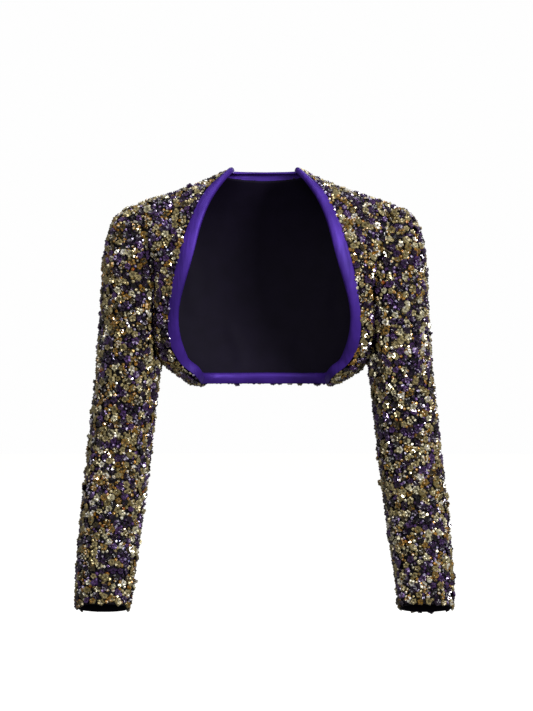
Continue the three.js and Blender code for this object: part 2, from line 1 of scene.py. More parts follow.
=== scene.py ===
"""A cropped bolero jacket: beaded cloth, a satin band and its worn shape, in metres with +Z up."""

from __future__ import annotations

import logging
import math
from dataclasses import dataclass
from enum import Enum

import bmesh
import bpy
import numpy as np
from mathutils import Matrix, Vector
from mathutils.kdtree import KDTree


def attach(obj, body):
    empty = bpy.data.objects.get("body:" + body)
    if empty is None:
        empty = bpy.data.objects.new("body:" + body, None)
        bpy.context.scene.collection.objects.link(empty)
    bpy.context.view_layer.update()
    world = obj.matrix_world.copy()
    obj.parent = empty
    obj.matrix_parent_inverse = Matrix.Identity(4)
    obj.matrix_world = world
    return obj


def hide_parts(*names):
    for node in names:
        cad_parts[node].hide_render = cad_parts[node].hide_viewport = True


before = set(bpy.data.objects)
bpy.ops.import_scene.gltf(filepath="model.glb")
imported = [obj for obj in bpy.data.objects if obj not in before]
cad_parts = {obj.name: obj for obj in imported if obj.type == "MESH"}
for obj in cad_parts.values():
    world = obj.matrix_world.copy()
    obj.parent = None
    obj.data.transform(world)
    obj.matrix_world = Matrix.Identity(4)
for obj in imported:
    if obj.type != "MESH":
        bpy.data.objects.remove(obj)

LOG = logging.getLogger("bolero")

MM = 0.001
BEAD_SEED = 20261
FAR = 1e9  # farther than any place in the scene

# The Mix node repeats its socket names for numbers, vectors and colours. These are its colours'.
MIX_SHARE, MIX_FIRST, MIX_SECOND, MIX_RESULT = 0, 6, 7, 2


# ---------------------------------------------------------------- finishes


def linear(hex_colour: str) -> tuple[float, float, float, float]:
    """Turns an sRGB hex colour to linear.

    Args:
        hex_colour: Six hex digits, with or without a leading hash.

    Returns:
        Linear red, green and blue, and an alpha of 1.
    """
    digits = hex_colour.lstrip("#")
    channels = [int(digits[i : i + 2], 16) / 255 for i in (0, 2, 4)]
    turned = [c / 12.92 if c <= 0.04045 else ((c + 0.055) / 1.055) ** 2.4 for c in channels]
    return (turned[0], turned[1], turned[2], 1.0)


def add_node(tree: bpy.types.NodeTree, kind: str, settings: dict, links: dict) -> bpy.types.Node:
    """Adds a node to a material.

    Args:
        tree: The material's node tree.
        kind: The node's type name.
        settings: Values by property name, or by input name.
        links: Output sockets by the name or number of the input that each one feeds.

    Returns:
        The new node.
    """
    node = tree.nodes.new(kind)
    for name, value in settings.items():
        if name in node.inputs:
            node.inputs[name].default_value = value
        else:
            setattr(node, name, value)
    for name, socket in links.items():
        tree.links.new(socket, node.inputs[name])
    return node


def new_material(name: str) -> tuple[bpy.types.Material, bpy.types.NodeTree, bpy.types.Node]:
    """Makes an empty material and its output.

    Args:
        name: The material's name.

    Returns:
        The material, its node tree and its output node.
    """
    material = bpy.data.materials.new(name)
    material.use_nodes = True
    tree = material.node_tree
    tree.nodes.clear()
    return material, tree, add_node(tree, "ShaderNodeOutputMaterial", {}, {})


@dataclass(frozen=True)
class BeadFinish:
    """Faceted pressed glass with a foil behind it.

    The foil sends light back through coloured glass, so a facet is either deep in colour or flashes
    nearly white; the palest tints are painted glints that stand for such flashes. Each bead has its
    own tint, and painted shade darkens its hollow, which little light gets out of, and its seat,
    where its neighbours keep light from it: both are held in attributes of the mesh.
    """

    name: str
    stops: tuple[tuple[float, str], ...]
    metallic: float = 0.44
    roughness: float = 0.25
    coat: float = 1.0
    coat_roughness: float = 0.06

    def material(self) -> bpy.types.Material:
        """Makes the material: the tint goes through a colour ramp, and the painted shade of the
        hollow and the seat darkens it.

        Returns:
            The material.
        """
        material, tree, output = new_material(self.name)
        tint = add_node(tree, "ShaderNodeAttribute", {"attribute_name": "tint"}, {})
        ramp = add_node(tree, "ShaderNodeValToRGB", {}, {"Fac": tint.outputs["Fac"]})
        ramp.color_ramp.interpolation = "CONSTANT"
        elements = ramp.color_ramp.elements
        while len(elements) < len(self.stops):
            elements.new(1.0)
        for element, (position, colour) in zip(elements, self.stops):
            element.position = position
            element.color = linear(colour)
        # painted shade of the hollow and the seat, multiplied into the bead's colour
        light = add_node(tree, "ShaderNodeAttribute", {"attribute_name": "open_to_light"}, {})
        shaded = add_node(
            tree,
            "ShaderNodeVectorMath",
            {"operation": "MULTIPLY"},
            {0: ramp.outputs["Color"], 1: light.outputs["Vector"]},
        )
        shader = add_node(
            tree,
            "ShaderNodeBsdfPrincipled",
            {
                "Metallic": self.metallic,
                "Roughness": self.roughness,
                "Coat Weight": self.coat,
                "Coat Roughness": self.coat_roughness,
            },
            {"Base Color": shaded.outputs["Vector"]},
        )
        tree.links.new(shader.outputs["BSDF"], output.inputs["Surface"])
        return material


@dataclass(frozen=True)
class WovenFinish:
    """Woven cloth: fine threads as a low bump, slow patches of painted shade, and soft ripples.

    On satin the long floats give a soft, broad highlight that runs along the band; the ground and
    the reverse are the same yarns in a plain, duller weave.
    """

    name: str
    # face is the cloth's own colour; shade is a darker colour that slow noise mixes in as painted
    # shade
    face: str
    painted_shade: str
    roughness: float
    gloss: float
    ripple: float = 0.0  # mm, how deep the ripples along the run are
    thread_mm: float = 0.6  # spacing of the threads, drawn coarser than real so that it shows
    thread_rise: float = 0.1  # mm that a thread stands up
    thread_strength: float = 0.12  # share of that rise that the light shows
    painted_shade_mm: float = 26.0  # length of the patches of painted shade, which stand for light falling on cloth that is not quite flat
    ripple_mm: tuple[float, float] = (5.0, 48.0)  # width and length of a ripple
    sheen_of_floats: float = 0.0  # share of the light that the floats send back in their own colour

    def material(self, run: int = 2) -> bpy.types.Material:
        """Makes the material.

        Args:
            run: The axis, 0 for x or 2 for z, that the ripples run along.

        Returns:
            The material.
        """
        material, tree, output = new_material(f"{self.name}_{'xyz'[run]}")
        place = add_node(tree, "ShaderNodeTexCoord", {}, {}).outputs["Object"]
        painted_shade_noise = add_node(
            tree,
            "ShaderNodeTexNoise",
            {"Scale": 1 / (self.painted_shade_mm * MM), "Detail": 2.0},
            {"Vector": place},
        )
        # painted shade: slow noise mixes the darker shade colour into the face colour
        mix = add_node(
            tree, "ShaderNodeMix", {"data_type": "RGBA"}, {MIX_SHARE: painted_shade_noise.outputs["Fac"]}
        )
        mix.inputs[MIX_FIRST].default_value = linear(self.painted_shade)
        mix.inputs[MIX_SECOND].default_value = linear(self.face)
        threads = add_node(
            tree,
            "ShaderNodeTexNoise",
            {"Scale": 1 / (self.thread_mm * MM), "Detail": 1.0},
            {"Vector": place},
        )
        weave = add_node(
            tree,
            "ShaderNodeBump",
            {"Strength": self.thread_strength, "Distance": self.thread_rise * MM},
            {"Height": threads.outputs["Fac"]},
        )
        width, length = self.ripple_mm
        scale = [1 / (width * MM)] * 3
        scale[run] = 1 / (length * MM)
        stretched = add_node(tree, "ShaderNodeMapping", {"Scale": scale}, {"Vector": place})
        ripples = add_node(
            tree,
            "ShaderNodeTexNoise",
            {"Scale": 1.0, "Detail": 1.5},
            {"Vector": stretched.outputs["Vector"]},
        )
        waved = add_node(
            tree,
            "ShaderNodeBump",
            {"Strength": 1.0, "Distance": max(self.ripple, 0.001) * MM},
            {"Height": ripples.outputs["Fac"], "Normal": weave.outputs["Normal"]},
        )
        shader = add_node(
            tree,
            "ShaderNodeBsdfPrincipled",
            {
                "Roughness": self.roughness,
                "Specular IOR Level": self.gloss,
                "Metallic": self.sheen_of_floats,
            },
            {"Base Color": mix.outputs[MIX_RESULT], "Normal": waved.outputs["Normal"]},
        )
        tree.links.new(shader.outputs["BSDF"], output.inputs["Surface"])
        return material


GOLD_BEADS = BeadFinish(
    "champagne_foiled_glass",
    (
        (0.0, "#a29468"),
        (0.24, "#84764a"),
        (0.42, "#96702a"),
        (0.53, "#42371f"),
        (0.69, "#c8c09c"),
        # painted glint: a near-white tint that stands for light flashing off the foil
        (0.82, "#e8e4da"),
        (0.89, "#966a18"),
        (0.995, "#9c4818"),
    ),
)
PLUM_BEADS = BeadFinish(
    "plum_foiled_glass",
    (
        (0.0, "#24122e"),
        (0.26, "#38204e"),
        (0.46, "#0e0612"),
        (0.67, "#4a2c62"),
        (0.84, "#644684"),
        # painted glint: a lilac-white tint that stands for light flashing off the foil
        (0.93, "#cac2da"),
        (0.98, "#2a2864"),
    ),
)
# Each cloth's second colour is painted shade, mixed in slow patches.
GROUND_CLOTH = WovenFinish("plum_ground_cloth", "#0e0a14", "#060409", roughness=0.8, gloss=0.15)
REVERSE_CLOTH = WovenFinish("violet_black_reverse", "#130d20", "#0a0614", roughness=0.7, gloss=0.1)
BAND_SATIN = WovenFinish(
    "violet_satin",
    "#5430a8",
    # painted shade: slow patches of this darker violet stand for light and shade rolling along the
    # satin
    "#1e1050",
    roughness=0.55,
    gloss=0.2,
    ripple=1.1,
    painted_shade_mm=52.0,
    ripple_mm=(7.0, 90.0),
    sheen_of_floats=0.34,
)


# ---------------------------------------------------------------- cloth


class FoldSide(Enum):
    """Where a fold lies: its path's two axes, the axis it moves along, and which way is out."""

    FRONT = (0, 2, 1, -1.0)  # x and z, seen along y, on what faces -y
    BACK = (0, 2, 1, 1.0)
    LEFT = (1, 2, 0, 1.0)  # y and z, seen along x, on what faces +x
    RIGHT = (1, 2, 0, -1.0)


# The middle line of a sleeve, in millimetres: height, distance from the middle of the body, depth.
SLEEVE_LINE = (
    (-673, 245, -66),
    (-600, 240, -47),
    (-535, 234, -30),
    (-475, 228, -15),
    (-418, 221, -5),
    (-310, 211, 0),
    (-60, 205, 0),
)

END_FADE = 6.5  # how fast a fold deepens from its ends; at 4 it would be full only half-way along
TURN_ROOM = 16.0  # mm past a piece's middle over which a fold fades out round its side


@dataclass(frozen=True)
class Fold:
    """A soft trough or ridge along a path, in millimetres.

    It depends on the place alone, so two panels that meet at a seam move together.
    """

    side: FoldSide
    path: tuple[tuple[float, float], ...]
    half_width: float
    rise: float  # negative for a trough

    def shift(self, points: np.ndarray) -> np.ndarray:
        """Says how each point moves.

        Args:
            points: Places in metres, one a row.

        Returns:
            A row of three distances in metres for each point.
        """
        across, up, depth, sign = self.side.value
        flat = points[:, (across, up)] / MM
        stops = np.array(self.path, float)
        lengths = np.linalg.norm(np.diff(stops, axis=0), axis=1)
        starts = np.concatenate([[0.0], np.cumsum(lengths)])
        away = np.full(len(flat), FAR)
        along = np.zeros(len(flat))
        for a, b, start, length in zip(stops[:-1], stops[1:], starts, lengths):
            share = np.clip((flat - a) @ (b - a) / length**2, 0.0, 1.0)
            far = np.linalg.norm(flat - (a + share[:, None] * (b - a)), axis=1)
            closer = far < away
            away[closer] = far[closer]
            along[closer] = (start + share * length)[closer] / starts[-1]
        near = np.clip(1.0 - away / self.half_width, 0.0, 1.0)
        ends = np.clip(END_FADE * along * (1.0 - along), 0.0, 1.0)
        heights, outs, depths = np.array(SLEEVE_LINE, float).T
        middle = np.interp(points[:, 2] / MM, heights, depths if depth == 1 else sign * outs)
        turned = np.clip(sign * (points[:, depth] / MM - middle) / TURN_ROOM, 0.0, 1.0)
        moved = np.zeros_like(points)
        moved[:, depth] = sign * self.rise * MM * ends * turned * near * near * (3.0 - 2.0 * near)
        return moved


FOLDS = (
    # armhole creases, deepest beside the chest
    Fold(FoldSide.FRONT, ((-176, -112), (-168, -172), (-171, -236), (-169, -318)), 10, -11.0),
    Fold(FoldSide.FRONT, ((177, -128), (167, -190), (170, -250), (173, -322)), 10, -10.5),
    Fold(FoldSide.BACK, ((-178, -130), (-172, -200), (-166, -290)), 11, -5.0),
    Fold(FoldSide.BACK, ((177, -120), (173, -205), (165, -280)), 10, -5.5),
    # fullness beside the creases
    Fold(FoldSide.FRONT, ((-190, -170), (-186, -240), (-184, -300)), 12, 2.2),
    Fold(FoldSide.FRONT, ((188, -190), (187, -250), (188, -310)), 13, 2.0),
    # drag lines from the underarm
    Fold(FoldSide.FRONT, ((-176, -300), (-204, -262), (-222, -236)), 9, -2.2),
    Fold(FoldSide.FRONT, ((178, -305), (206, -276), (232, -262)), 9, -2.0),
    # breaks over the inner elbow
    Fold(FoldSide.FRONT, ((-182, -372), (-214, -364), (-244, -346)), 9, -2.4),
    Fold(FoldSide.FRONT, ((-184, -402), (-210, -396), (-236, -390)), 8, -1.8),
    Fold(FoldSide.FRONT, ((184, -384), (212, -380), (250, -358)), 9, -2.2),
    Fold(FoldSide.FRONT, ((188, -420), (216, -412), (238, -408)), 8, -1.9),
    # the forearms
    Fold(FoldSide.FRONT, ((-206, -560), (-234, -552), (-258, -536)), 9, -1.6),
    Fold(FoldSide.FRONT, ((208, -574), (236, -570), (262, -552)), 9, -1.5),
    Fold(FoldSide.FRONT, ((-226, -640), (-246, -632), (-268, -626)), 8, -1.3),
    # the backs of the sleeves
    Fold(FoldSide.BACK, ((-180, -330), (-208, -338), (-242, -330)), 11, -2.0),
    Fold(FoldSide.BACK, ((182, -342), (212, -346), (240, -336)), 11, -2.2),
    Fold(FoldSide.BACK, ((-196, -470), (-222, -476), (-246, -468)), 10, -1.6),
    Fold(FoldSide.BACK, ((204, -498), (228, -500), (250, -490)), 10, -1.5),
    Fold(FoldSide.LEFT, ((-30, -300), (-4, -318), (22, -316)), 12, -1.6),
    Fold(FoldSide.RIGHT, ((-28, -318), (-2, -330), (26, -322)), 12, -1.7),
    # the back panel
    Fold(FoldSide.BACK, ((-128, -110), (-116, -170), (-118, -232)), 18, -2.2),
    Fold(FoldSide.BACK, ((126, -104), (118, -160), (112, -246)), 18, -2.0),
    Fold(FoldSide.BACK, ((-60, -236), (-40, -280), (-34, -318)), 16, -1.6),
    Fold(FoldSide.BACK, ((44, -250), (34, -290), (36, -326)), 16, -1.5),
)


MERGE_GAP = 0.02  # mm between two points that are one
FLAT_TURN, SHAPE_TURN = 35, 60  # degrees up to which two triangles are joined to a quad
CREASE_TURN = 55  # degrees past which an edge stays sharp


def merged_copy(node: str, name: str) -> bpy.types.Object:
    """Copies a CAD node and joins its loose triangles.

    Args:
        node: The CAD node.
        name: The new piece's name.

    Returns:
        The new piece, with quads again where two triangles were cut from one.
    """
    piece = bpy.data.objects.new(name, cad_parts[node].data.copy())
    bpy.context.scene.collection.objects.link(piece)
    piece.data.materials.clear()
    work = bmesh.new()
    work.from_mesh(piece.data)
    bmesh.ops.remove_doubles(work, verts=work.verts, dist=MERGE_GAP * MM)
    bmesh.ops.join_triangles(
        work,
        faces=work.faces,
        angle_face_threshold=math.radians(FLAT_TURN),
        angle_shape_threshold=math.radians(SHAPE_TURN),
    )
    crease = work.edges.layers.float.new("crease_edge")
    for edge in work.edges:
        if len(edge.link_faces) == 2 and edge.calc_face_angle() > math.radians(CREASE_TURN):
            edge[crease] = 1.0
    work.to_mesh(piece.data)
    work.free()
    return piece


def apply_subdivision(piece: bpy.types.Object, levels: int) -> None:
    """Rounds a piece with subdivision and applies it.

    Args:
        piece: The piece, which becomes the only one selected.
        levels: How often each face is divided.
    """
    bpy.ops.object.select_all(action="DESELECT")
    piece.select_set(True)
    bpy.context.view_layer.objects.active = piece
    rounding = piece.modifiers.new("rounding", "SUBSURF")
    rounding.levels = levels
    rounding.render_levels = levels
    bpy.ops.object.modifier_apply(modifier=rounding.name)
    for polygon in piece.data.polygons:
        polygon.use_smooth = True


def arrays_of(mesh: bpy.types.Mesh) -> tuple[np.ndarray, np.ndarray]:
    """Reads a mesh.

    Args:
        mesh: The mesh.

    Returns:
        Its points and their outward directions, one a row.
    """
    count = len(mesh.vertices)
    points, normals = np.empty(count * 3), np.empty(count * 3)
    mesh.vertices.foreach_get("co", points)
    mesh.vertices.foreach_get("normal", normals)
    return points.reshape(-1, 3), normals.reshape(-1, 3)


class Skin(Enum):
    """The parts of a shell's surface, numbered as their material slots are."""

    OUTER = 0
    INNER = 1
    RIM = 2


def mark_skins(piece: bpy.types.Object, turn: float = 50.0) -> None:
    """Numbers the faces of a shell by skin: the larger wall is the outer one.

    Args:
        piece: The merged shell.
        turn: Degrees between two faces past which one is wall and the other rim.
    """
    work = bmesh.new()
    work.from_mesh(piece.data)
    work.faces.ensure_lookup_table()
    region = [-1] * len(work.faces)
    areas: list[float] = []
    for first in work.faces:
        if region[first.index] >= 0:
            continue
        region[first.index] = len(areas)
        waiting, area = [first], 0.0
        while waiting:
            face = waiting.pop()
            area += face.calc_area()
            for edge in face.edges:
                if len(edge.link_faces) == 2 and edge.calc_face_angle() < math.radians(turn):
                    for other in edge.link_faces:
                        if region[other.index] < 0:
                            region[other.index] = region[first.index]
                            waiting.append(other)
        areas.append(area)
    order = sorted(range(len(areas)), key=lambda r: -areas[r])
    for face in work.faces:
        rank = order.index(region[face.index])
        skin = Skin.OUTER if rank == 0 else Skin.INNER if rank == 1 else Skin.RIM
        face.material_index = skin.value
    LOG.info("%s regions: %s", piece.name, [round(areas[r] * 1e4, 1) for r in order[:6]])
    work.to_mesh(piece.data)
    work.free()


@dataclass
class ClothPiece:
    """One cut piece of beaded cloth on its ground."""

    node: str
    flat: tuple[float, float]  # m, width and length as cut
    area: float  # m2 of what shows, all round on a tube
    rests_on: tuple[str, ...]
    set_in: float = 1.8  # mm that the ground lies inside the solid, to leave room for the beads
    seam_lap: float = 1.6  # mm that a rim reaches into its seam, which closes it
    levels: int = 2
    shell: bpy.types.Object | None = None
    outward: np.ndarray | None = None
    on_outer: np.ndarray | None = None
    on_rim: np.ndarray | None = None
    past_rim: np.ndarray | None = None

    def build(self) -> bpy.types.Object:
        """Makes the shell from the solid's form, sets it in and lays its folds.

        Returns:
            The shell.
        """
        piece = merged_copy(self.node, f"{self.node}_cloth")
        mark_skins(piece)
        apply_subdivision(piece, self.levels)
        self.shell = piece
        self.read_skins()
        points, _ = arrays_of(piece.data)
        inset = np.where(self.on_outer, self.set_in * MM, 0.0)
        folded = points + sum(fold.shift(points) for fold in FOLDS)
        points = folded - self.outward * inset[:, None] + self.past_rim * (self.seam_lap * MM)
        piece.data.vertices.foreach_set("co", points.ravel())
        piece.data.update()
        self.read_skins()
        return piece

    def read_skins(self) -> None:
        """Finds which points lie on the outer skin and the rim, and which way is out at each."""
        mesh = self.shell.data
        count = len(mesh.vertices)
        outer, inner, rim = (np.zeros((count, 3)) for _ in Skin)
        self.on_outer, self.on_rim = np.zeros(count, bool), np.zeros(count, bool)
        for polygon in mesh.polygons:
            corners = list(polygon.vertices)
            way = np.array(polygon.normal) * polygon.area
            if polygon.material_index == Skin.RIM.value:
                self.on_rim[corners] = True
                rim[corners] += way
            elif polygon.material_index == Skin.OUTER.value:
                self.on_outer[corners] = True
                outer[corners] += way
            else:
                inner[corners] -= way
        both = np.where(self.on_outer[:, None], outer, inner)
        sizes = np.linalg.norm(both, axis=1)
        _, normals = arrays_of(mesh)
        lost = sizes < 1e-12
        both[lost] = normals[lost]
        sizes[lost] = 1.0
        self.outward = both / sizes[:, None]
        self.past_rim = rim / np.maximum(np.linalg.norm(rim, axis=1), 1e-12)[:, None]

    def edge_points(self) -> np.ndarray:
        """Gives the points where the outer skin meets the rim."""
        points, _ = arrays_of(self.shell.data)
        return points[self.on_outer & self.on_rim]

    def dress(self, ground: bpy.types.Material, reverse: bpy.types.Material) -> None:
        """Args:
            ground: The material of the outer skin and the rim.
            reverse: The material of the inner skin.
        """
        materials = {Skin.OUTER: ground, Skin.INNER: reverse, Skin.RIM: ground}
        for skin in Skin:
            self.shell.data.materials.append(materials[skin])
        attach(self.shell, "root")
        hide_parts(self.node)


# ---------------------------------------------------------------- beads


class BeadKind(Enum):
    """The two families of beads."""

    GOLD = "gold"
    PLUM = "plum"


@dataclass(frozen=True)
class BeadModel:
    """One modelled bead of radius 1: its points, triangles and painted shade, as how open to light
    each point is.
    """

    points: np.ndarray
    faces: np.ndarray
    open_to_light: np.ndarray


FLATNESS = 0.01  # shares of a bead's radius within which a face is flat or at a height
NEARNESS = 0.02  # and within which a point is at a radius or height


def picked_faces(bead: bpy.types.Object, height: float) -> None:
    """Selects the flat faces at a height, in edit mode.

    Args:
        bead: The bead being shaped.
        height: The height, as a share of the bead's radius.
    """
    bpy.ops.mesh.select_mode(type="FACE")
    bpy.ops.mesh.select_all(action="DESELECT")
    work = bmesh.from_edit_mesh(bead.data)
    for face in work.faces:
        flat = max(v.co.z for v in face.verts) - min(v.co.z for v in face.verts) < FLATNESS
        face.select = flat and abs(face.calc_center_median().z - height) < FLATNESS
    bmesh.update_edit_mesh(bead.data)


def picked_points(bead: bpy.types.Object, radius: float, height: float, every: int = 1) -> None:
    """Selects points at a radius and height, in edit mode.

    Args:
        bead: The bead being shaped.
        radius: Their distance from its middle, as a share of its radius.
        height: Their height, as a share of its radius.
        every: Which of them round the bead: 1 is all, 2 every second one.
    """
    bpy.ops.mesh.select_mode(type="VERT")
    bpy.ops.mesh.select_all(action="DESELECT")
    work = bmesh.from_edit_mesh(bead.data)
    ring = [
        v
        for v in work.verts
        if abs(math.hypot(v.co.x, v.co.y) - radius) < NEARNESS and abs(v.co.z - height) < NEARNESS
    ]
    ring.sort(key=lambda v: math.atan2(v.co.y, v.co.x))
    for vert in ring[::every]:
        vert.select = True
    work.select_flush(True)
    bmesh.update_edit_mesh(bead.data)


@dataclass(frozen=True)
class RosetteShape:
    """A crinkled, cupped bead: petals round a raised ring, with a hollow in the middle."""

    petals: int = 5
    seat: float = 0.5  # radii and heights as shares of the bead's radius
    rim_height: float = 0.2
    ring: float = 0.56
    ring_height: float = 0.7
    hollow_depth: float = 0.36
    petal_dip: float = 0.22
    notch: float = 0.8  # how far out the rim reaches between two petals
    notch_drop: float = 0.12

    def modelled(self) -> BeadModel:
        """Shapes the rosette in edit mode.

        Returns:
            The rosette as arrays.
        """
        bpy.ops.object.select_all(action="DESELECT")
        bpy.ops.mesh.primitive_cylinder_add(
            vertices=2 * self.petals,
            radius=1,
            depth=self.rim_height,
            location=(0, 0, self.rim_height / 2),
        )
        bead = bpy.context.active_object
        bpy.ops.object.transform_apply(location=True)
        bpy.ops.object.mode_set(mode="EDIT")
        picked_faces(bead, 0.0)
        bpy.ops.transform.resize(value=(self.seat, self.seat, 1))
        picked_faces(bead, self.rim_height)
        rise = self.ring_height - self.rim_height
        bpy.ops.mesh.extrude_region_move(TRANSFORM_OT_translate={"value": (0, 0, rise)})
        bpy.ops.transform.resize(value=(self.ring, self.ring, 1))
        bpy.ops.mesh.poke(offset=-self.hollow_depth)
        picked_points(bead, 1.0, self.rim_height, every=2)
        bpy.ops.transform.resize(value=(self.notch, self.notch, 1))
        bpy.ops.transform.translate(value=(0, 0, -self.notch_drop))
        picked_points(bead, self.ring, self.ring_height, every=2)
        bpy.ops.transform.translate(value=(0, 0, -self.petal_dip))
        return finished_bead(bead)


@dataclass(frozen=True)
class DrumShape:
    """A small faceted bead: a six-sided drum that narrows to its seat and bevels up to a table."""

    sides: int = 6
    seat: float = 0.8
    girdle: float = 0.42
    table: float = 0.5
    crown: float = 0.5

    def modelled(self) -> BeadModel:
        """Shapes the drum in edit mode.

        Returns:
            The drum as arrays.
        """
        bpy.ops.object.select_all(action="DESELECT")
        bpy.ops.mesh.primitive_cylinder_add(
            vertices=self.sides, radius=1, depth=self.girdle, location=(0, 0, self.girdle / 2)
        )
        bead = bpy.context.active_object
        bpy.ops.object.transform_apply(location=True)
        bpy.ops.object.mode_set(mode="EDIT")
        picked_faces(bead, 0.0)
        bpy.ops.transform.resize(value=(self.seat, self.seat, 1))
        picked_faces(bead, self.girdle)
        bpy.ops.mesh.extrude_region_move(TRANSFORM_OT_translate={"value": (0, 0, self.crown)})
        bpy.ops.transform.resize(value=(self.table, self.table, 1))
        return finished_bead(bead)


def steady(faces: np.ndarray) -> np.ndarray:
    """Lists triangles in a fixed order, because the cutting of quads gives them in any."""
    turned = np.array([np.roll(face, -np.argmin(face)) for face in faces])
    return turned[np.lexsort(turned.T[::-1])]


# Painted shade: a bead's colour is darkened in its hollow and at its seat.
HOLLOW_REACH, HOLLOW_TOP = 0.45, 0.5  # radius and height, as shares, within which a bead is hollow
SEAT_TOP = 0.35  # height below which its neighbours keep light from it
HOLLOW_SHADE, SEAT_SHADE = 0.85, 0.65  # share of the light that is lost at the deepest of each


def finished_bead(bead: bpy.types.Object) -> BeadModel:
    """Cuts a bead's faces into triangles, reads it and clears it away.

    Args:
        bead: The bead, in edit mode.

    Returns:
        The bead as arrays.
    """
    bpy.ops.mesh.select_all(action="SELECT")
    bpy.ops.mesh.quads_convert_to_tris()
    bpy.ops.object.mode_set(mode="OBJECT")
    points, _ = arrays_of(bead.data)
    faces = steady(np.array([list(polygon.vertices) for polygon in bead.data.polygons]))
    bpy.data.objects.remove(bead)
    # painted shade: darker towards the hollow and towards the seat
    radii = np.hypot(points[:, 0], points[:, 1])
    inward = np.clip(1.0 - radii / HOLLOW_REACH, 0.0, 1.0) * (points[:, 2] < HOLLOW_TOP)
    low = np.clip(1.0 - points[:, 2] / SEAT_TOP, 0.0, 1.0)
    open_to_light = 1.0 - HOLLOW_SHADE * inward - SEAT_SHADE * low * (1.0 - inward)
    return BeadModel(points, faces, open_to_light)


@dataclass
class Sites:
    """Places for beads: where, which way is out, and on which cloth."""

    place: np.ndarray
    out: np.ndarray
    cloth: np.ndarray

    def only(self, chosen: np.ndarray) -> Sites:
        """Gives some of the sites."""
        return Sites(self.place[chosen], self.out[chosen], self.cloth[chosen])


